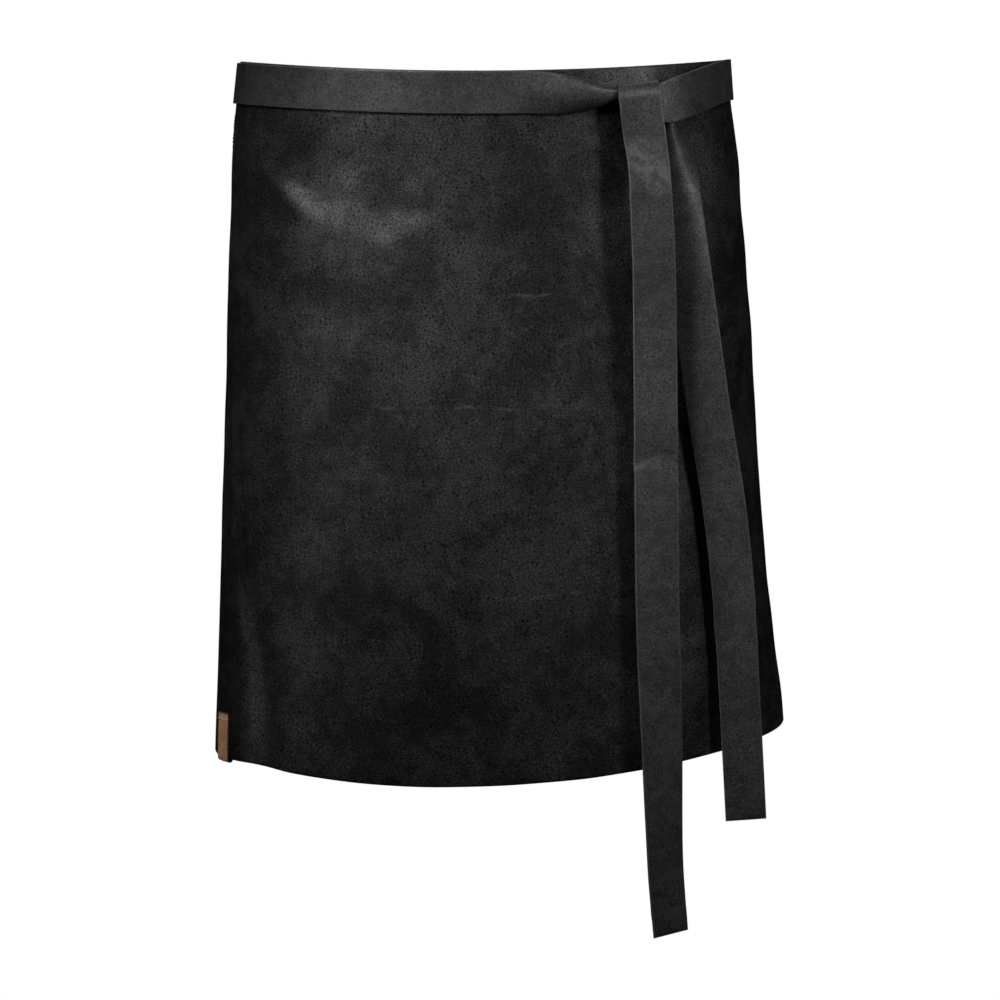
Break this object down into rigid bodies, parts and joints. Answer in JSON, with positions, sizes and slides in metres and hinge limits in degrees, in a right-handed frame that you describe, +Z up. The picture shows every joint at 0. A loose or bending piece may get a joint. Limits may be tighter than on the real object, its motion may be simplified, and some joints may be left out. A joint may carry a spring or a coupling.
{
  "type": "leather waist apron",
  "caption": "Black leather waist apron in its worn form, wrapped round the hips and tied at the front with a half knot, long tie ends hanging; bare tab on the hem.",
  "frame": {"origin": "middle of the waist opening, level with the middle of the waist strap at the front", "axes": "+Z up through the waist opening, -Y towards the front of the apron, +X to the right of someone looking at the front"},
  "size_m": [0.431, 0.2282, 0.636],
  "materials": {
    "black_leather": "waxed black leather with a fine pebbled grain",
    "strap_leather": "black leather strap, matte, with lighter rubbed edges",
    "brown_leather": "plain brown leather tab"
  },
  "bodies": {
    "root": {"apron_panel": "black_leather", "left_tie": "strap_leather", "right_tie": "strap_leather", "hem_label": "brown_leather"}
  },
  "joints": []
}
